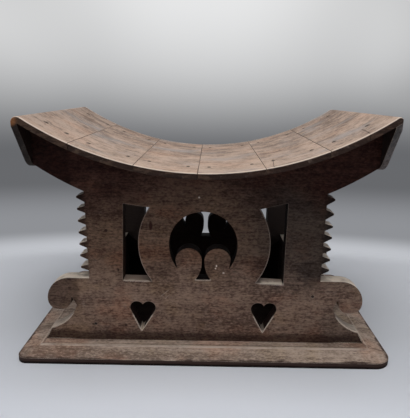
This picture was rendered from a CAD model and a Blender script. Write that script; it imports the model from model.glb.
import math

import bmesh
import bpy
from bpy.props import FloatProperty, FloatVectorProperty, PointerProperty
from bpy.types import Operator, Panel, PropertyGroup
from mathutils import Matrix, Vector


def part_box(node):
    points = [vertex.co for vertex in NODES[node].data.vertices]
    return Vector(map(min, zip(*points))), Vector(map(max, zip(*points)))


bl_info = {
    "name": "Joined stool",
    "version": (1, 0, 0),
    "blender": (4, 5, 0),
    "location": "3D View > Sidebar > Stool",
    "description": "Finishes and stage for a joined wooden stool with a hollowed seat",
    "category": "Object",
}

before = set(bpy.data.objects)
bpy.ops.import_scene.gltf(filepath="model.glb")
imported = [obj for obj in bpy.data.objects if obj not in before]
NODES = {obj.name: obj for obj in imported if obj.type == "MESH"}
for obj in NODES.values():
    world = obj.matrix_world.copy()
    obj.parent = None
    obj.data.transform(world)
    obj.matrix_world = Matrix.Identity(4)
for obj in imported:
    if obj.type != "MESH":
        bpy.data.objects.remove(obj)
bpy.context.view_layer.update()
SLATS = [name for name in sorted(NODES) if name.startswith("seat_slat_")]

# ---- places on the stool, in metres across, back and up, with half sizes where they are spots ---
THROUGH = 3.0                # half size of a spot that reaches right through the stool
SEAT_EDGE = 0.1585           # long edges of the seat, from its middle
# left front corner of the seat, worn down to bare wood
NOSE = ((-0.2540, -0.159, 0.3560), (0.0095, 0.006, 0.0075))
PANEL_OUT = 0.119            # outer faces of the panels, from the middle
# round opening in the middle of a panel, and the narrow slot at its foot
EYE = ((-0.0023, 0.0, 0.178), (0.062, THROUGH, 0.061))
EYE_SILL = ((-0.0023, 0.0, 0.1193), (0.018, THROUGH, 0.009))
RING_MIDDLE = (-0.0009, 0.1745)     # across and up
RING_RADIUS = 0.0977
WINDOW_SILLS = (
    ((-0.1000, 0.0, 0.1160), (0.026, THROUGH, 0.006)),
    ((0.0995, 0.0, 0.1150), (0.026, THROUGH, 0.006)),
)
WINDOW_LEVELS = (0.115, 0.237)      # lowest and highest level of the windows
WINDOW_SIDE = 0.119          # outer sides of the windows, from the middle
WINDOW_RING = 0.0855         # where the ring meets the window sills, from the middle
COLUMN_SIDE = 0.1745         # roots of the teeth, from the middle
TEETH = (0.127, 0.253)       # lowest and highest level of the teeth
CUT_SIDE = 0.145             # every opening lies nearer to the middle than this
HEART_TOP = 0.085            # the hearts lie below this level
TIP_DUST_TOP = 0.03725       # dust in the hearts' points reaches up to this level
SCROLL_LEFT = -0.192         # the left scroll's head lies to the left of this
SCROLL_LOW = 0.0675          # and above this level
FOOT_TOP = 0.030             # top of the damp band along a panel's foot
BOX_HALF = (0.155, 0.097)    # inside of the box over the base, half across and half back
BOX_LOW = 0.010              # the box's inside starts above this level
RIM_TOP = 0.0093             # top of the base's upright rim
FIELD_HALF = (0.2517, 0.1342)       # raised field of the base, half across and half back
NAIL_STAIN = (0.0026, 0.0052, 0.02)     # half sizes of the stain round a nail

# corners on a panel's outer face that are rubbed pale: across and up, then half sizes
SILL_CORNERS = (
    ((-0.1020, 0.1163), (0.020, 0.004, 0.005)),
    ((0.1015, 0.1145), (0.020, 0.004, 0.005)),
    ((-0.0023, 0.1193), (0.014, 0.004, 0.003)),
)
HEART_CORNERS = tuple(((x, 0.0450), (0.022, 0.006, 0.021)) for x in (-0.0953, 0.0911))
THROAT_CORNERS = tuple(((x, 0.0400), (0.034, 0.006, 0.027)) for x in (-0.2230, 0.2230))

# hairline splits in the seat, from a nail to the front edge: across and back of both ends
SPLIT_WIDTH = 0.0007
SPLITS = {
    "seat_slat_2": ((-0.0791, -0.121), (-0.0724, -SEAT_EDGE)),
    "seat_slat_5": ((0.0969, -0.098), (0.0906, -SEAT_EDGE)),
    "seat_slat_6": ((0.2154, -0.112), (0.212, -SEAT_EDGE)),
}
# scratches on the front panel: across and up of both ends, width and strength
SCRATCHES = (
    ((-0.0675, 0.0903), (-0.0525, 0.1035), 0.0010, 0.22),
    ((-0.0600, 0.0870), (-0.0530, 0.0950), 0.0008, 0.18),
)


def on_front(x, z, half_width, half_height, half_depth=0.01):
    """A spot on the front panel's outer face."""
    return (x, -PANEL_OUT, z), (half_width, half_depth, half_height)


HOLES = (
    on_front(-0.1451, 0.1955, 0.0023, 0.0023),
    on_front(-0.1297, 0.1335, 0.0016, 0.0022),
    on_front(-0.1215, 0.0415, 0.0020, 0.0022),
    on_front(-0.1716, 0.0425, 0.0030, 0.0017),
    on_front(-0.2012, 0.0812, 0.0026, 0.0040, 0.03),
)
RUST_RUN = on_front(-0.0793, 0.2035, 0.0026, 0.0066)
CHIPS = (
    on_front(0.0177, 0.1422, 0.0011, 0.0016),
    on_front(0.0163, 0.1382, 0.0011, 0.0011),
    on_front(0.0284, 0.1311, 0.0016, 0.0010),
    on_front(-0.0086, 0.2471, 0.0012, 0.0012),
)

# ---- tints of stain and light on the wood ------------------------------------------------------
WARM_TINT = (0.72, 0.44, 0.34)
COOL_TINT = (0.56, 0.52, 0.36)
SEAT_WARM = (0.68, 0.49, 0.40)
SEAT_GREY = (0.29, 0.275, 0.27)
SEAT_LEFT_TINT = (0.86, 0.88, 0.90)
SLAT_TONES = (0.03, -0.02, 0.0, 0.03, -0.01, -0.03)
LOW_TINT = (0.61, 0.565, 0.515)
HIGH_TINT = (0.64, 0.58, 0.59)
WING_TINT = (0.52, 0.36, 0.37)
GREY_TINT = (0.42, 0.48, 0.55)
SCROLL_TINT = (0.52, 0.50, 0.50)
TOE_TINT = (0.70, 0.73, 0.76)
TOOTH_TINT = (0.42, 0.42, 0.44)
CUT_TINT = (0.22, 0.19, 0.19)
LEFT_SILL_TINT = (0.68, 0.66, 0.65)

# ---- stage, in metres --------------------------------------------------------------------------
FLOOR_RADIUS = 1.5
COVE_RADIUS = 0.6
WALL_TOP = 2.4
TOP_LIGHT = (0.0, -0.30, 1.5)
TOP_LIGHT_TARGET = (0.0, 0.0, 0.2)
TOP_LIGHT_SIZE = 1.1
SIDE_LIGHT = (1.15, -0.05, 1.0)
SIDE_LIGHT_TARGET = (0.0, 0.0, 0.1)
SIDE_LIGHT_SIZE = 0.35
SENSOR_WIDTH = 36.0          # millimetres
SKY_COLOUR = (0.95, 0.97, 1.0, 1.0)
# the paper changes to its next shade over each of these stretches, measured from the middle of
# the floor along the floor and up the wall
GLOW_RUN = (0.30, 0.37)
RISE_RUN = (0.38, 0.52)
FOLD_RUN = (0.60, 1.20)
WALL_RUN = (1.75, 3.10)
SIDES_RUN = (2.40, 2.95)
RIGHT_RUN = (2.05, 2.25)
SIDES_TINT = (0.70, 0.70, 0.70)
RIGHT_TINT = (0.80, 0.80, 0.80)


# ---- what a user can change --------------------------------------------------------------------
def colour(name, description, default):
    """A colour setting, as linear light."""
    return FloatVectorProperty(
        name=name, description=description, default=default, subtype="COLOR", min=0.0, max=1.0
    )


def length(name, description, default):
    """A length setting, in metres."""
    return FloatProperty(
        name=name, description=description, default=default, subtype="DISTANCE", unit="LENGTH"
    )


def angle(name, description, default):
    """An angle setting, in radians."""
    return FloatProperty(
        name=name, description=description, default=default, subtype="ANGLE", unit="ROTATION"
    )


class StoolFinishes(PropertyGroup):
    """Colours and wear of the wood and the nails."""

    seat_pale: colour("Seat, worn", "Wood rubbed pale by use", (0.465, 0.345, 0.272))
    seat_brown: colour("Seat, brown", "Wood between the worn places", (0.195, 0.142, 0.112))
    seat_rim: colour("Seat, rubbed edge", "Bare wood along the seat's edges", (0.66, 0.54, 0.45))
    edge_dark: colour("Seat edges", "Stain left on the seat's edges", (0.030, 0.018, 0.014))
    edge_brown: colour("Seat edges, rubbed", "Brown where that stain is thin", (0.110, 0.066, 0.044))
    panel_brown: colour("Panels", "Stained wood of the panels", (0.335, 0.222, 0.160))
    panel_dark: colour("Panels, dark", "Stain where hands and weather don't reach", (0.085, 0.047, 0.035))
    panel_dust: colour("Panels, dusty", "Dry wood on the panels' upward faces", (0.90, 0.775, 0.64))
    sill_cream: colour("Window sills", "Dry wood on the window sills", (0.86, 0.74, 0.60))
    rim_pale: colour("Rubbed edges", "Bare wood where corners are rubbed", (0.40, 0.31, 0.25))
    soot: colour("Shade", "Old dark stain under the seat", (0.022, 0.011, 0.009))
    base_brown: colour("Base", "Stained wood of the base", (0.52, 0.40, 0.32))
    base_dark: colour("Base, dark", "Stain in the base's grain", (0.165, 0.115, 0.088))
    base_pale: colour("Base, rubbed", "Rubbed wood of the base", (0.55, 0.45, 0.375))
    rim_brown: colour("Base, rim", "Stain on the base's upright rim", (0.060, 0.036, 0.029))
    end_brown: colour("End board, right", "Greyed wood of the right end board", (0.150, 0.135, 0.128))
    end_dark: colour("End board, left", "Darker wood of the left end board", (0.040, 0.031, 0.027))
    nose_brown: colour("Corner", "Bare orange wood on the seat's left front corner", (0.36, 0.150, 0.060))
    side_brown: colour("Side boards", "Dusty wood inside", (0.062, 0.045, 0.038))
    nail_black: colour("Nails", "Scale on the nails", (0.022, 0.018, 0.016))
    nail_rust: colour("Rust", "Rust on the nails", (0.105, 0.042, 0.020))
    rust_stain: colour("Rust stain", "Where rust has run into the front panel", (0.030, 0.010, 0.008))
    edge_radius: length("Edge wear", "How far the edges are rubbed round", 0.0012)


class StoolStage(PropertyGroup):
    """Floor, backdrop, light and camera."""

    floor_colour: colour("Floor", "Colour of the floor", (0.65, 0.665, 0.70))
    floor_near: colour("Floor in front", "Colour of the floor in front of the stool", (0.70, 0.72, 0.77))
    glow_colour: colour("Fold, lit", "Light along the front of the fold", (0.51, 0.525, 0.56))
    rise_colour: colour("Fold, shaded", "Shade where the paper starts to rise", (0.270, 0.278, 0.297))
    fold_colour: colour("Backdrop, low", "Shade low on the backdrop", (0.135, 0.139, 0.148))
    wall_colour: colour("Backdrop, high", "Light high on the backdrop", (0.80, 0.805, 0.81))
    key_power: FloatProperty(
        name="Top light", description="Strength of the light overhead", default=17.0, unit="POWER"
    )
    side_power: FloatProperty(
        name="Side lights", description="Strength of each light at the sides", default=1.5, unit="POWER"
    )
    sky_strength: FloatProperty(
        name="Room light", description="Strength of the light from all round", default=0.10, min=0.0
    )
    camera_place: FloatVectorProperty(
        name="Camera", description="Where the camera stands",
        default=(0.008449, -0.730541, 0.396664), subtype="TRANSLATION", unit="LENGTH"
    )
    camera_down: angle("Tilt", "How far the camera looks down", 0.2658)
    camera_turn: angle("Turn", "How far the camera turns left", 0.0141)
    camera_roll: angle("Roll", "How far the camera leans", -0.0089)
    camera_lens: FloatProperty(
        name="Lens", description="Focal length on a 36 mm wide sensor", default=38.634,
        subtype="DISTANCE_CAMERA", unit="CAMERA"
    )


# ---- finishes ----------------------------------------------------------------------------------
class Finish:
    """One procedural finish, with short calls for its nodes."""

    def __init__(self, name, edge_radius=0.0):
        self.material = bpy.data.materials.new(name)
        self.material.use_nodes = True
        self.tree = self.material.node_tree
        self.shader = self.tree.nodes["Principled BSDF"]
        self.place = self.add("ShaderNodeTexCoord").outputs["Object"]
        self.facing = self.add("ShaderNodeNewGeometry").outputs["Normal"]
        self.edge_radius = edge_radius
        self.wear = None
        self.arrises = None

    def add(self, kind, inputs=None, **settings):
        """A node with its settings, and values or links on its inputs."""
        node = self.tree.nodes.new(kind)
        for key, value in settings.items():
            setattr(node, key, value)
        for key, value in (inputs or {}).items():
            self.feed(node.inputs[key], value)
        return node

    def feed(self, socket, value):
        """Link an output to a socket, or set the socket's own value."""
        if isinstance(value, bpy.types.NodeSocket):
            self.tree.links.new(value, socket)
        else:
            socket.default_value = value

    def math(self, operation, *values):
        """Arithmetic on single numbers."""
        return self.add("ShaderNodeMath", dict(enumerate(values)), operation=operation).outputs[0]

    def times(self, first, *others):
        """The product of two or more numbers."""
        for other in others:
            first = self.math("MULTIPLY", first, other)
        return first

    def unsigned(self, value):
        """A number without its sign, so that both sides are alike."""
        return self.math("ABSOLUTE", value)

    def strayed(self, value, noise, reach):
        """A number moved to and fro by a noise."""
        return self.math("MULTIPLY_ADD", self.math("SUBTRACT", noise, 0.5), reach, value)

    def between(self, value, low, high, start=0.0, stop=1.0):
        """Turn a value from low to high smoothly into start to stop."""
        inputs = {"Value": value, "From Min": low, "From Max": high, "To Min": start, "To Max": stop}
        return self.add("ShaderNodeMapRange", inputs, interpolation_type="SMOOTHSTEP").outputs[0]

    def past(self, value, limit, soft):
        """One past a limit, with a soft edge; a negative softness gives one before it."""
        return self.between(value, limit - soft, limit + soft)

    def by_side(self, x, left, right):
        """One number on the left half of the stool and another on the right half."""
        return self.between(x, -0.02, 0.02, left, right)

    def mix(self, share, first, second, blend="MIX"):
        """Mix two colours by a share."""
        node = self.add("ShaderNodeMix", data_type="RGBA", blend_type=blend)
        self.feed(node.inputs["Factor"], share)
        for index, value in ((6, first), (7, second)):
            flat = not isinstance(value, bpy.types.NodeSocket)
            self.feed(node.inputs[index], (*value, 1.0) if flat else value)
        return node.outputs[2]

    def split(self, vector):
        """The three numbers of a vector."""
        return self.add("ShaderNodeSeparateXYZ", {0: vector}).outputs

    def vector_math(self, operation, *values):
        """Arithmetic on vectors, as the outputs of its node."""
        return self.add("ShaderNodeVectorMath", dict(enumerate(values)), operation=operation).outputs

    def noise(self, scale, shift=(0.0, 0.0, 0.0), detail=4.0, rough=0.55, twist=0.0):
        """Noise of a size given for each axis, in turns per metre."""
        mapping = {"Vector": self.place, "Scale": scale, "Location": shift}
        inputs = {"Vector": self.add("ShaderNodeMapping", mapping).outputs[0], "Scale": 1.0}
        inputs.update({"Detail": detail, "Roughness": rough, "Distortion": twist})
        return self.add("ShaderNodeTexNoise", inputs).outputs["Fac"]

    def spot(self, centre, radii, soft=0.5):
        """One inside an ellipsoid and nought outside it, with a soft edge."""
        away = self.vector_math("SUBTRACT", self.place, centre)[0]
        away = self.vector_math("DIVIDE", away, radii)[0]
        far = self.vector_math("LENGTH", away)["Value"]
        return self.between(far, 1.0 - soft, 1.0 + soft, 1.0, 0.0)

    def rubbed_edges(self, radius):
        """One on edges that are rubbed round and nought on flat wood, and the rounded normal."""
        rounded = self.add("ShaderNodeBevel", {"Radius": radius}, samples=6).outputs[0]
        same = self.vector_math("DOT_PRODUCT", rounded, self.facing)["Value"]
        return self.between(same, 0.93, 0.999, 1.0, 0.0), rounded

    def broad_arrises(self):
        """One in a broad band along sharp corners, worked out once for each finish."""
        if self.arrises is None:
            self.arrises, _ = self.rubbed_edges(self.edge_radius * 2.8)
        return self.arrises


def along(axis, with_grain, across):
    """Scales that follow the grain along one axis."""
    return tuple(with_grain if index == "XYZ".index(axis) else across for index in range(3))


def old_wood(
    name, axis, brown, dark, pale, seed, settings, wear=0.5, relief=0.5, streaks=0.5, marks=()
):
    """Dry, stained wood with its grain along one axis.

    wear is how pale the rubbed edges are, streaks how much the grain shows in long bands, and
    marks are dark or pale places added last.
    """
    finish = Finish(name, settings.edge_radius)
    shift = (seed * 1.37, seed * 2.11, seed * 0.73)
    figure = finish.noise(along(axis, 3.0, 42.0), shift, detail=3.0, twist=0.6)
    fibre = finish.noise(along(axis, 34.0, 420.0), shift, detail=5.0, rough=0.7)
    pores = finish.noise(along(axis, 90.0, 1300.0), shift, detail=2.0, rough=0.5)
    patches = finish.noise((16.0, 16.0, 16.0), shift, detail=4.0, rough=0.6)
    mottle = finish.noise(along(axis, 90.0, 170.0), shift, detail=4.0, rough=0.8)
    grit = finish.noise(along(axis, 230.0, 400.0), shift, detail=2.0, rough=0.6)
    scuffs = finish.noise(along(axis, 60.0, 90.0), (*shift[1:], shift[0]), detail=4.0, rough=0.7)
    warm = finish.noise((14.0, 14.0, 20.0), (shift[2], *shift[:2]), detail=3.0)
    layers = ((patches, 0.55), (figure, streaks), (fibre, 0.7), (mottle, 0.9), (grit, 0.8))
    tone = 0.0
    for layer, share in layers:
        tone = finish.math("MULTIPLY_ADD", layer, share, tone)
    middle = sum(share for _, share in layers) / 2
    wood = finish.mix(finish.between(tone, middle - 0.31, middle + 0.32), dark, brown)
    wood = finish.mix(finish.between(warm, 0.50, 0.70, 0.0, 0.4), wood, WARM_TINT, "SOFT_LIGHT")
    wood = finish.mix(finish.between(warm, 0.46, 0.28, 0.0, 0.4), wood, COOL_TINT, "SOFT_LIGHT")
    wood = finish.mix(finish.times(finish.between(scuffs, 0.55, 0.80), 0.35), wood, pale)
    pits = finish.between(pores, 0.56, 0.68)
    wood = finish.mix(finish.times(pits, 0.35), wood, dark)
    finish.wear, rounded = finish.rubbed_edges(settings.edge_radius)
    for mark in marks:
        wood = mark(finish, wood)
    worn = finish.times(finish.wear, finish.between(scuffs, 0.34, 0.60, 0.15, 1.0), wear)
    wood = finish.mix(worn, wood, pale)
    finish.feed(finish.shader.inputs["Base Color"], wood)
    height = finish.math("MULTIPLY_ADD", fibre, 0.6, finish.times(figure, 1.2))
    height = finish.math("MULTIPLY_ADD", pits, -0.5, height)
    height = finish.math("MULTIPLY_ADD", mottle, 0.5, height)
    bump = finish.add("ShaderNodeBump", {"Strength": relief, "Distance": 0.0008, "Height": height})
    finish.feed(bump.inputs["Normal"], rounded)
    finish.feed(finish.shader.inputs["Normal"], bump.outputs[0])
    finish.feed(finish.shader.inputs["Roughness"], finish.between(fibre, 0.3, 0.7, 0.62, 0.82))
    finish.shader.inputs["Specular IOR Level"].default_value = 0.10
    return finish.material


# ---- marks: each takes a finish and its wood so far, and gives the wood with the mark ------------
def worn_top(colours, seed):
    """Seat wood is pale on top and stained on its edges and below."""

    def mark(finish, wood):
        up = finish.split(finish.facing)[2]
        finish.wear = finish.times(finish.wear, finish.between(up, 0.2, 0.6))
        x, y, _ = finish.split(finish.place)
        streaks = finish.noise(along("X", 16.0, 150.0), detail=5.0, rough=0.65, twist=0.3)
        clouds = finish.noise((26.0, 40.0, 26.0), (seed, 0.0, seed), detail=4.0, rough=0.6)
        mottle = finish.noise((170.0, 260.0, 170.0), (seed, seed, 0.0), detail=4.0, rough=0.75)
        tone = finish.math("MULTIPLY_ADD", streaks, 0.8, finish.times(clouds, 0.8))
        tone = finish.math("MULTIPLY_ADD", mottle, 0.75, tone)
        tone = finish.math("ADD", tone, finish.between(y, 0.12, -0.15, -0.06, 0.06))
        tone = finish.math("ADD", tone, SLAT_TONES[seed % len(SLAT_TONES)] - 0.075)
        top = finish.mix(finish.between(tone, 0.86, 1.28), colours.seat_brown, colours.seat_pale)
        warm = finish.noise((10.0, 18.0, 10.0), (0.0, seed, 2.0), detail=3.0)
        top = finish.mix(finish.between(warm, 0.50, 0.72, 0.0, 0.4), top, SEAT_WARM, "SOFT_LIGHT")
        top = finish.mix(finish.between(warm, 0.46, 0.28, 0.0, 0.6), top, SEAT_GREY)
        lines = finish.noise(along("X", 30.0, 1500.0), (seed, 1.0, seed), detail=2.0)
        top = finish.mix(finish.between(lines, 0.58, 0.70, 0.0, 0.55), top, colours.seat_brown)
        top = finish.mix(finish.between(x, -0.16, -0.25), top, SEAT_LEFT_TINT, "MULTIPLY")
        return finish.mix(finish.between(up, 0.35, 0.80), wood, top)

    return mark


def patchy_edge(colours, seed):
    """Brown wood shows through the dark stain on the seat's edges."""

    def mark(finish, wood):
        bare = finish.noise((45.0, 30.0, 160.0), (seed, 3.0, seed), detail=4.0, rough=0.65)
        leftward = finish.between(finish.split(finish.place)[0], -0.12, -0.22, 0.02, 0.12)
        bare = finish.math("ADD", bare, leftward)
        wood = finish.mix(finish.between(bare, 0.50, 0.66, 0.0, 0.75), wood, colours.edge_brown)
        flecks = finish.noise((220.0, 60.0, 420.0), (seed, 5.0, seed), detail=3.0, rough=0.7)
        return finish.mix(finish.between(flecks, 0.52, 0.66, 0.0, 0.5), wood, colours.edge_dark)

    return mark


def pale_rim(colours):
    """Bare wood along the seat's long upper edges."""

    def mark(finish, wood):
        _, y, _ = finish.split(finish.place)
        up = finish.split(finish.facing)[2]
        ragged = finish.noise((40.0, 0.0, 40.0), detail=4.0)
        reach = finish.math("MULTIPLY_ADD", ragged, 0.0045, 0.0005)
        inset = finish.math("SUBTRACT", SEAT_EDGE, finish.unsigned(y))
        share = finish.between(finish.math("SUBTRACT", inset, reach), 0.0012, -0.0006)
        share = finish.times(share, finish.between(up, 0.25, 0.55), 0.8)
        return finish.mix(share, wood, colours.seat_rim)

    return mark


def nail_stains(points, dark):
    """Dark rings where iron has stained the wood."""

    def mark(finish, wood):
        for point in points:
            ring = finish.spot(point, NAIL_STAIN, soft=0.45)
            wood = finish.mix(finish.times(ring, 0.65), wood, dark)
        return wood

    return mark


def line_share(finish, across, run, start, stop, width):
    """One on a thin line whose place across follows its run from start to stop."""
    middle = finish.math("MULTIPLY_ADD", run, stop - start, start)
    off = finish.unsigned(finish.math("SUBTRACT", across, middle))
    return finish.between(off, width, width * 0.3)


def split_line(start, stop, dark):
    """A hairline split in the seat, from a nail to the edge."""

    def mark(finish, wood):
        x, y, _ = finish.split(finish.place)
        run = finish.math("DIVIDE", finish.math("SUBTRACT", y, start[1]), stop[1] - start[1])
        ends = finish.times(finish.past(run, 0.0, 0.02), finish.past(run, 1.04, -0.04))
        x = finish.strayed(x, finish.noise((120.0, 120.0, 0.0), detail=2.0), -0.003)
        share = line_share(finish, x, run, start[0], stop[0], SPLIT_WIDTH)
        return finish.mix(finish.times(share, ends, 0.85), wood, dark)

    return mark


def scratch(start, stop, width, strength, tone):
    """A thin scratch on a panel's face."""

    def mark(finish, wood):
        x, _, z = finish.split(finish.place)
        run = finish.math("DIVIDE", finish.math("SUBTRACT", z, start[1]), stop[1] - start[1])
        ends = finish.times(finish.between(run, 0.0, 0.15), finish.between(run, 1.0, 0.85))
        share = line_share(finish, x, run, start[0], stop[0], width)
        return finish.mix(finish.times(share, ends, strength), wood, tone)

    return mark


def dusty_tops(dust):
    """Dry, dusty wood on faces that look up, thickest on the scrolls, the sills and below."""

    def mark(finish, wood):
        up = finish.split(finish.facing)[2]
        z = finish.split(finish.place)[2]
        uneven = finish.noise((70.0, 90.0, 70.0), detail=4.0, rough=0.6)
        share = finish.times(
            finish.between(up, 0.30, 0.75),
            finish.between(uneven, 0.25, 0.60, 0.55, 1.0),
            finish.between(z, 0.200, 0.260, 1.0, 0.4),
            finish.between(z, 0.060, 0.100, 0.5, 1.0),
            0.95,
        )
        return finish.mix(share, wood, dust)

    return mark


def dark_cuts(soot, dust):
    """Saw cuts inside a panel are dark, blackest in the hearts and dusty at the hearts' points."""

    def mark(finish, wood):
        x, _, z = finish.split(finish.place)
        _, back, up = finish.split(finish.facing)
        turned = finish.past(finish.unsigned(back), 0.55, -0.15)
        inner = finish.past(finish.unsigned(x), CUT_SIDE, -0.005)
        low = finish.past(z, HEART_TOP, -0.005)
        level = finish.math("MAXIMUM", finish.between(up, 0.80, 0.55), low)
        share = finish.times(turned, inner, level)
        wood = finish.mix(share, wood, CUT_TINT, "MULTIPLY")
        share = finish.times(share, low)
        wood = finish.mix(finish.times(share, 0.85), wood, soot)
        tip = finish.times(finish.past(z, TIP_DUST_TOP, -0.00175), finish.by_side(x, 0.8, 0.4))
        return finish.mix(finish.times(share, tip), wood, dust)

    return mark


def dark_eye(soot):
    """Soot on the cut faces inside the round opening, whose edges stay dark too."""

    def mark(finish, wood):
        turned = finish.unsigned(finish.split(finish.facing)[1])
        inside = finish.math("MAXIMUM", finish.spot(*EYE, soft=0.08), finish.spot(*EYE_SILL, soft=0.20))
        share = finish.times(inside, finish.past(turned, 0.55, -0.15))
        finish.wear = finish.times(finish.wear, finish.math("SUBTRACT", 1.0, inside))
        return finish.mix(share, wood, [value * 0.3 for value in soot])

    return mark


def dusty_sills(dust, stain):
    """Dry cream wood along the front of the window sills, stained at the back and the ends."""

    def mark(finish, wood):
        x, y, _ = finish.split(finish.place)
        up = finish.split(finish.facing)[2]
        left, right = (finish.spot(*sill, soft=0.10) for sill in WINDOW_SILLS)
        flat = finish.times(finish.math("MAXIMUM", left, right), finish.between(up, 0.6, 0.9))
        uneven = finish.noise((90.0, 90.0, 90.0), detail=4.0, rough=0.6)
        back = finish.strayed(finish.unsigned(y), uneven, 0.020)
        back = finish.math("ADD", back, finish.by_side(x, -0.0055, 0.003))
        end = finish.unsigned(finish.math("SUBTRACT", x, RING_MIDDLE[0]))
        end = finish.strayed(end, uneven, 0.016)
        cream = finish.mix(finish.between(back, 0.1085, 0.1150), stain, dust)
        cream = finish.mix(finish.past(end, WINDOW_RING, -0.0025), cream, stain)
        cream = finish.mix(finish.by_side(x, 1.0, 0.0), cream, LEFT_SILL_TINT, "MULTIPLY")
        return finish.mix(flat, wood, cream)

    return mark


def pale_arrises(face, places, tone, strength):
    """Rubbed corners that catch the light, inside these places on one face."""

    def mark(finish, wood):
        share = 0.0
        for (x, z), radii in places:
            share = finish.math("MAXIMUM", share, finish.spot((x, face, z), radii, soft=0.15))
        return finish.mix(finish.times(share, finish.broad_arrises(), strength), wood, tone)

    return mark


def ring_arris(tone):
    """The ring's sawn edge is rubbed pale beside the windows."""

    def mark(finish, wood):
        x, _, z = finish.split(finish.place)
        over = finish.math("POWER", finish.math("SUBTRACT", x, RING_MIDDLE[0]), 2.0)
        up = finish.math("POWER", finish.math("SUBTRACT", z, RING_MIDDLE[1]), 2.0)
        far = finish.math("SQRT", finish.math("ADD", over, up))
        off = finish.unsigned(finish.math("SUBTRACT", far, RING_RADIUS))
        low, high = WINDOW_LEVELS
        share = finish.times(
            finish.past(off, 0.0015, -0.0004),
            finish.broad_arrises(),
            finish.past(z, low, 0.003),
            finish.past(z, high, -0.003),
            finish.between(z, 0.130, 0.200, 0.75, 0.40),
        )
        return finish.mix(share, wood, tone)

    return mark


def unlit_below(dark):
    """Grime on faces that look down."""

    def mark(finish, wood):
        up = finish.split(finish.facing)[2]
        return finish.mix(finish.between(up, -0.15, -0.5, 0.0, 0.9), wood, dark)

    return mark


def unlit_middle(side, dark):
    """Grime on the face of an end board that looks at the stool's middle."""

    def mark(finish, wood):
        outward = finish.times(finish.split(finish.facing)[0], side)
        return finish.mix(finish.between(outward, -0.3, -0.6, 0.0, 0.9), wood, dark)

    return mark


def boxed_in(dark):
    """Grime on the base inside the box between the panels and the side boards."""

    def mark(finish, wood):
        x, y, z = finish.split(finish.place)
        across = finish.past(finish.unsigned(x), BOX_HALF[0], -0.005)
        deep = finish.past(finish.unsigned(y), BOX_HALF[1], -0.003)
        return finish.mix(finish.times(across, deep, finish.past(z, BOX_LOW, 0.002), 0.93), wood, dark)

    return mark


def panel_shade(finish, wood):
    """Stain gets darker up a panel, and darkest out on the wings under the seat."""
    x, _, z = finish.split(finish.place)
    side = finish.unsigned(x)
    level = finish.strayed(z, finish.noise((22.0, 22.0, 22.0), detail=4.0, rough=0.6), 0.10)
    out = finish.math("MULTIPLY_ADD", side, 0.3, level)
    wing = finish.between(out, 0.245, 0.345)
    finish.wear = finish.times(finish.wear, finish.math("MULTIPLY_ADD", wing, -0.9, 1.0))
    greyer = finish.times(
        finish.between(x, 0.01, 0.12), finish.between(level, 0.09, 0.15), finish.between(out, 0.33, 0.27)
    )
    scroll = finish.times(finish.past(x, SCROLL_LEFT, -0.005), finish.past(z, SCROLL_LOW, 0.0075))
    toe = finish.times(finish.between(x, 0.130, 0.200), finish.between(level, 0.080, 0.045))
    tooth = finish.times(
        finish.past(side, COLUMN_SIDE, 0.0045),
        finish.past(z, TEETH[0], 0.003),
        finish.past(z, TEETH[1], -0.003),
    )
    shades = (
        (finish.between(level, 0.09, 0.17), LOW_TINT),
        (finish.between(level, 0.20, 0.28), HIGH_TINT),
        (wing, WING_TINT),
        (greyer, GREY_TINT),
        (scroll, SCROLL_TINT),
        (toe, TOE_TINT),
        (tooth, TOOTH_TINT),
    )
    for share, tint in shades:
        wood = finish.mix(share, wood, tint, "MULTIPLY")
    return wood


def unlit_inside(dark, soot, end):
    """Grimy wood on a panel's inner face, blackest low down towards the middle."""

    def mark(finish, wood):
        x, _, z = finish.split(finish.place)
        inner = finish.past(finish.times(finish.split(finish.facing)[1], end), -0.5, -0.2)
        out = finish.unsigned(x)
        height = finish.math("MULTIPLY_ADD", out, -0.83, finish.math("ADD", z, 0.0111))
        low = finish.math(
            "MAXIMUM", finish.past(height, 0.0, -0.002), finish.past(out, WINDOW_SIDE, -0.003)
        )
        grime = finish.mix(low, dark, [value * 0.45 for value in soot])
        return finish.mix(finish.times(inner, 0.93), wood, grime)

    return mark


def foot_band(dark):
    """A dark, damp band along the foot of a panel."""

    def mark(finish, wood):
        ragged = finish.noise((18.0, 18.0, 60.0), detail=4.0)
        level = finish.strayed(finish.split(finish.place)[2], ragged, 0.010)
        return finish.mix(finish.times(finish.past(level, FOOT_TOP, -0.004), 0.62), wood, dark)

    return mark


def stained_rim(dark, brown):
    """Dark stain on the base's upright rim, blackest where it meets the floor."""

    def mark(finish, wood):
        uneven = finish.noise((30.0, 30.0, 260.0), detail=4.0, rough=0.65)
        level = finish.strayed(finish.split(finish.place)[2], uneven, 0.004)
        stain = finish.mix(finish.between(level, 0.0020, 0.0055), dark, brown)
        return finish.mix(finish.past(level, RIM_TOP, -0.0005), wood, stain)

    return mark


def field_line(pale, dark):
    """The step round the base's raised field, rubbed pale outside and grimy inside."""

    def mark(finish, wood):
        x, y, _ = finish.split(finish.place)
        over = finish.math("SUBTRACT", finish.unsigned(x), FIELD_HALF[0])
        past = finish.math("SUBTRACT", finish.unsigned(y), FIELD_HALF[1])
        off = finish.math("MAXIMUM", over, past)
        broken = finish.between(finish.noise((30.0, 30.0, 30.0), detail=4.0), 0.38, 0.52, 0.35, 1.0)
        groove = finish.unsigned(finish.math("ADD", off, 0.0036))
        share = finish.times(finish.past(groove, 0.0012, -0.0006), broken, 0.65)
        wood = finish.mix(share, wood, dark)
        ridge = finish.unsigned(finish.math("SUBTRACT", off, 0.0002))
        share = finish.times(finish.past(ridge, 0.0014, -0.0006), broken)
        share = finish.times(share, finish.between(over, -0.002, 0.0, 0.85, 0.4))
        return finish.mix(share, wood, pale)

    return mark


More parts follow.
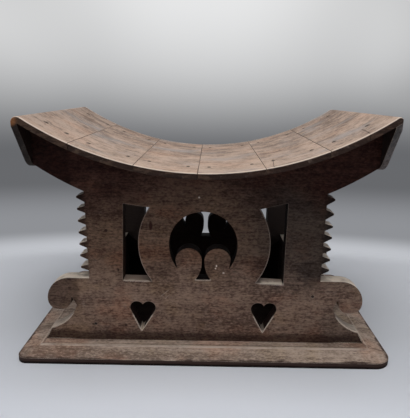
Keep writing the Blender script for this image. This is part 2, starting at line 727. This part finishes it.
def spots(places, tone, strength=0.8):
    """Small knots, holes and chips at these places."""

    def mark(finish, wood):
        for centre, radii in places:
            share = finish.spot(centre, radii, soft=0.4)
            wood = finish.mix(finish.times(share, strength), wood, tone)
        return wood

    return mark


def iron(name, settings):
    """Black scale with rust on hand-driven nails."""
    finish = Finish(name)
    rusty = finish.noise((900.0, 900.0, 900.0), detail=4.0, rough=0.7)
    hammered = finish.noise((420.0, 420.0, 420.0), detail=2.0)
    shade = finish.mix(finish.between(rusty, 0.45, 0.65), settings.nail_black, settings.nail_rust)
    finish.feed(finish.shader.inputs["Base Color"], shade)
    finish.feed(finish.shader.inputs["Roughness"], finish.between(rusty, 0.4, 0.7, 0.45, 0.8))
    finish.shader.inputs["Metallic"].default_value = 0.6
    bump = finish.add("ShaderNodeBump", {"Strength": 0.6, "Distance": 0.0003, "Height": hammered})
    finish.feed(finish.shader.inputs["Normal"], bump.outputs[0])
    return finish.material


def coat(node, material):
    """Give every face of a frame node one finish."""
    for slot in NODES[node].material_slots:
        slot.link = "OBJECT"
        slot.material = material


def nail_heads(node):
    """The middle of each nail head in a group."""
    mesh = bmesh.new()
    mesh.from_mesh(NODES[node].data)
    bmesh.ops.remove_doubles(mesh, verts=mesh.verts, dist=1e-6)
    unseen = set(mesh.verts)
    heads = []
    while unseen:
        piece = set()
        edge_of_piece = [unseen.pop()]
        while edge_of_piece:
            vertex = edge_of_piece.pop()
            piece.add(vertex)
            near = {edge.other_vert(vertex) for edge in vertex.link_edges} & unseen
            unseen -= near
            edge_of_piece += near
        top = max(vertex.co.z for vertex in piece)
        head = [vertex.co.copy() for vertex in piece if vertex.co.z > top - 0.0015]
        heads.append(sum(head, Vector()) / len(head))
    mesh.free()
    return heads


# ---- pieces ------------------------------------------------------------------------------------
class STOOL_OT_seat_slats(Operator):
    """Worn seat slats, pale on top, with iron stains round the nails"""

    bl_idname = "stool.seat_slats"
    bl_label = "Seat slats"

    def execute(self, context):
        colours = context.scene.stool_finishes
        nails = nail_heads("seat_nails_front") + nail_heads("seat_nails_rear")
        stain = [value * 1.6 for value in colours.edge_dark]
        for seed, name in enumerate(SLATS):
            low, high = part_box(name)
            near = [point for point in nails if low.x < point.x < high.x]
            marks = [patchy_edge(colours, seed), worn_top(colours, seed)]
            marks.append(nail_stains(near, colours.edge_dark))
            if name in SPLITS:
                marks.append(split_line(*SPLITS[name], colours.edge_dark))
            marks += [pale_rim(colours), unlit_below(colours.soot)]
            if name == SLATS[0]:
                marks.append(spots([NOSE], colours.nose_brown, 0.75))
            coat(name, old_wood(
                name, "X", stain, colours.edge_dark, colours.seat_pale, seed + 1, colours,
                wear=0.55, relief=0.45, marks=marks
            ))
        return {"FINISHED"}


class STOOL_OT_end_boards(Operator):
    """Greyed boards under both ends of the seat"""

    bl_idname = "stool.end_boards"
    bl_label = "End boards"

    def execute(self, context):
        colours = context.scene.stool_finishes
        corner = spots([NOSE], colours.nose_brown, 0.8)
        boards = (
            ("end_board_left", colours.end_dark, 11, 0.2, [unlit_middle(-1.0, colours.soot), corner]),
            ("end_board_right", colours.end_brown, 12, 0.6, [unlit_middle(1.0, colours.soot)]),
        )
        for name, brown, seed, wear, marks in boards:
            dark = [value * 0.4 for value in brown]
            coat(name, old_wood(
                name, "Z", brown, dark, colours.rim_pale, seed, colours, wear=wear, marks=marks
            ))
        return {"FINISHED"}


class STOOL_OT_panels(Operator):
    """Fret-sawn front and rear panels in dark stained wood"""

    bl_idname = "stool.panels"
    bl_label = "Panels"

    def execute(self, context):
        colours = context.scene.stool_finishes
        for seed, (name, outward) in enumerate((("front_panel", -1.0), ("rear_panel", 1.0))):
            face = outward * PANEL_OUT
            marks = [
                panel_shade,
                foot_band(colours.soot),
                unlit_inside(colours.side_brown, colours.soot, outward),
                dusty_tops(colours.panel_dust),
                dark_cuts(colours.soot, colours.panel_dust),
                dark_eye(colours.soot),
                dusty_sills(colours.sill_cream, colours.base_brown),
                ring_arris(colours.rim_pale),
                pale_arrises(face, SILL_CORNERS, colours.seat_rim, 0.9),
                pale_arrises(face, HEART_CORNERS, colours.panel_dust, 1.0),
                pale_arrises(face, THROAT_CORNERS, colours.sill_cream, 1.0),
            ]
            if name == "front_panel":
                marks += self.front_marks(colours)
            coat(name, old_wood(
                name, "X", colours.panel_brown, colours.panel_dark, colours.rim_pale, seed + 21,
                colours, wear=0.75, relief=0.6, marks=marks
            ))
        return {"FINISHED"}

    def front_marks(self, colours):
        """Holes, a rust stain, chips and scratches on the front panel alone."""
        marks = [
            spots(HOLES, colours.soot),
            spots([RUST_RUN], colours.rust_stain, 0.9),
            spots(CHIPS, colours.panel_dust, 0.75),
        ]
        return marks + [scratch(*line, colours.panel_dust) for line in SCRATCHES]


class STOOL_OT_side_boards(Operator):
    """Dusty boards that close the sides of the base"""

    bl_idname = "stool.side_boards"
    bl_label = "Side boards"

    def execute(self, context):
        colours = context.scene.stool_finishes
        dark = [value * 0.5 for value in colours.side_brown]
        for seed, name in enumerate(("side_board_left", "side_board_right")):
            coat(name, old_wood(
                name, "Y", colours.side_brown, dark, colours.rim_pale, seed + 31, colours,
                wear=0.3, marks=[dusty_tops(colours.panel_dust)]
            ))
        return {"FINISHED"}


class STOOL_OT_base_board(Operator):
    """Bevelled base board, rubbed pale on its bevel"""

    bl_idname = "stool.base_board"
    bl_label = "Base board"

    def execute(self, context):
        colours = context.scene.stool_finishes
        coat("base_board", old_wood(
            "base_board", "X", colours.base_brown, colours.base_dark, colours.base_pale, 41,
            colours, wear=0.6, relief=0.6, streaks=1.1, marks=[
                stained_rim([value * 0.3 for value in colours.soot], colours.rim_brown),
                field_line(colours.seat_rim, colours.base_dark),
                boxed_in(colours.soot),
            ]
        ))
        return {"FINISHED"}


class STOOL_OT_nails(Operator):
    """Rusty iron nails in every joint"""

    bl_idname = "stool.nails"
    bl_label = "Nails"

    def execute(self, context):
        material = iron("nail_iron", context.scene.stool_finishes)
        for name in sorted(NODES):
            if "nails" in name:
                coat(name, material)
        return {"FINISHED"}


# ---- stage -------------------------------------------------------------------------------------
def round_backdrop(flat_radius, cove, height, turns=96, steps=16):
    """Floor that curves up into a wall all round."""
    profile = [(0.0, 0.0), (flat_radius * 0.5, 0.0), (flat_radius, 0.0)]
    for step in range(1, steps + 1):
        bend = math.pi / 2 * step / steps
        profile.append((flat_radius + cove * math.sin(bend), cove * (1.0 - math.cos(bend))))
    profile.append((flat_radius + cove, height))
    mesh = bmesh.new()
    rings = []
    for radius, level in profile:
        ring = []
        for turn in range(turns):
            around = math.tau * turn / turns
            ring.append(mesh.verts.new((radius * math.cos(around), radius * math.sin(around), level)))
        rings.append(ring)
    for inner, outer in zip(rings, rings[1:]):
        for turn in range(turns):
            after = (turn + 1) % turns
            mesh.faces.new((inner[turn], outer[turn], outer[after], inner[after]))
    bmesh.ops.remove_doubles(mesh, verts=mesh.verts, dist=1e-6)
    data = bpy.data.meshes.new("floor")
    mesh.to_mesh(data)
    mesh.free()
    for face in data.polygons:
        face.use_smooth = True
    backdrop = bpy.data.objects.new("floor", data)
    bpy.context.scene.collection.objects.link(backdrop)
    return backdrop


def backdrop_paper(settings):
    """Matt paper that is shaded by its own colour where it folds up behind the floor."""
    finish = Finish("paper")
    x, y, z = finish.split(finish.place)
    wide = finish.math("POWER", finish.times(x, 0.45), 2.0)
    far = finish.math("SQRT", finish.math("ADD", wide, finish.math("POWER", y, 2.0)))
    run = finish.math("ADD", far, z)
    closer = finish.times(finish.between(y, -0.19, -0.27), 0.6)
    closer = finish.math("MULTIPLY_ADD", finish.between(y, -0.05, -0.14), 0.4, closer)
    near = finish.mix(closer, settings.floor_colour, settings.floor_near)
    finish.feed(finish.shader.inputs["Base Color"], near)
    finish.shader.inputs["Roughness"].default_value = 0.9
    finish.shader.inputs["Specular IOR Level"].default_value = 0.1
    shade = finish.mix(finish.between(y, -0.10, 0.20), settings.rise_colour, settings.glow_colour)
    shade = finish.mix(finish.between(run, *RISE_RUN), shade, settings.rise_colour)
    shade = finish.mix(finish.between(run, *FOLD_RUN), shade, settings.fold_colour)
    aside = finish.between(finish.unsigned(x), 0.60, 1.30)
    high = finish.math("MULTIPLY_ADD", aside, 0.20, run)
    shade = finish.mix(finish.between(high, *WALL_RUN), shade, settings.wall_colour)
    sides = finish.between(finish.unsigned(finish.math("ADD", x, 0.05)), 0.15, 1.40)
    sides = finish.times(sides, finish.between(run, *SIDES_RUN))
    shade = finish.mix(sides, shade, SIDES_TINT, "MULTIPLY")
    right = finish.times(finish.between(x, 0.90, 1.30), finish.between(run, *RIGHT_RUN))
    shade = finish.mix(right, shade, RIGHT_TINT, "MULTIPLY")
    glow = finish.add("ShaderNodeEmission", {"Color": shade, "Strength": 1.0})
    path = finish.add("ShaderNodeLightPath").outputs
    seen = finish.math("MAXIMUM", path["Is Camera Ray"], path["Is Glossy Ray"])
    seen = finish.math("MAXIMUM", seen, path["Is Transmission Ray"])
    share = finish.times(seen, finish.between(run, *GLOW_RUN))
    blend = finish.add("ShaderNodeMixShader", {0: share, 1: finish.shader.outputs[0], 2: glow.outputs[0]})
    surface = finish.tree.nodes["Material Output"].inputs["Surface"]
    finish.feed(surface, blend.outputs[0])
    return finish.material


def area_light(name, place, target, size, power):
    """A soft square light that looks at a point."""
    data = bpy.data.lights.new(name, "AREA")
    data.shape = "SQUARE"
    data.size = size
    data.energy = power
    light = bpy.data.objects.new(name, data)
    light.location = place
    light.rotation_euler = (Vector(target) - Vector(place)).to_track_quat("-Z", "Y").to_euler()
    bpy.context.scene.collection.objects.link(light)


class STOOL_OT_stage(Operator):
    """Floor, backdrop, soft light from above and the camera"""

    bl_idname = "stool.stage"
    bl_label = "Stage"

    def execute(self, context):
        scene = context.scene
        settings = scene.stool_stage
        floor = round_backdrop(FLOOR_RADIUS, COVE_RADIUS, WALL_TOP)
        floor.data.materials.append(backdrop_paper(settings))
        area_light("top_light", TOP_LIGHT, TOP_LIGHT_TARGET, TOP_LIGHT_SIZE, settings.key_power)
        for side in (-1, 1):
            place = (side * SIDE_LIGHT[0], *SIDE_LIGHT[1:])
            area_light("side_light", place, SIDE_LIGHT_TARGET, SIDE_LIGHT_SIZE, settings.side_power)
        world = bpy.data.worlds.new("room")
        world.use_nodes = True
        sky = world.node_tree.nodes["Background"]
        sky.inputs["Color"].default_value = SKY_COLOUR
        sky.inputs["Strength"].default_value = settings.sky_strength
        scene.world = world
        scene.view_settings.view_transform = "Standard"
        self.set_camera(scene, settings)
        return {"FINISHED"}

    def set_camera(self, scene, settings):
        """Stand the camera at its place and point it at the stool."""
        data = bpy.data.cameras.new("camera")
        data.sensor_fit = "HORIZONTAL"
        data.sensor_width = SENSOR_WIDTH
        data.lens = settings.camera_lens
        data.clip_start = 0.01
        camera = bpy.data.objects.new("camera", data)
        turn = Matrix.Rotation(settings.camera_turn, 4, "Z")
        tilt = Matrix.Rotation(-settings.camera_down, 4, "X")
        roll = Matrix.Rotation(settings.camera_roll, 4, "Y")
        level = Matrix.Rotation(math.pi / 2, 4, "X")
        place = Matrix.Translation(settings.camera_place)
        camera.matrix_world = place @ turn @ tilt @ roll @ level
        scene.collection.objects.link(camera)
        scene.camera = camera


PIECES = (
    STOOL_OT_seat_slats,
    STOOL_OT_end_boards,
    STOOL_OT_panels,
    STOOL_OT_side_boards,
    STOOL_OT_base_board,
    STOOL_OT_nails,
    STOOL_OT_stage,
)


class STOOL_PT_pieces(Panel):
    """Lists the stool's pieces and their settings"""

    bl_label = "Stool"
    bl_idname = "STOOL_PT_pieces"
    bl_space_type = "VIEW_3D"
    bl_region_type = "UI"
    bl_category = "Stool"

    def draw(self, context):
        for piece in PIECES:
            self.layout.operator(piece.bl_idname)
        for group in (context.scene.stool_finishes, context.scene.stool_stage):
            for name in group.bl_rna.properties.keys():
                if name not in ("rna_type", "name"):
                    self.layout.prop(group, name)


CLASSES = (StoolFinishes, StoolStage, *PIECES, STOOL_PT_pieces)


def register():
    for part in CLASSES:
        bpy.utils.register_class(part)
    bpy.types.Scene.stool_finishes = PointerProperty(type=StoolFinishes)
    bpy.types.Scene.stool_stage = PointerProperty(type=StoolStage)


def unregister():
    del bpy.types.Scene.stool_stage
    del bpy.types.Scene.stool_finishes
    for part in reversed(CLASSES):
        bpy.utils.unregister_class(part)


def main():
    register()
    for piece in PIECES:
        group, call = piece.bl_idname.split(".")
        getattr(getattr(bpy.ops, group), call)()


if __name__ == "__main__":
    main()
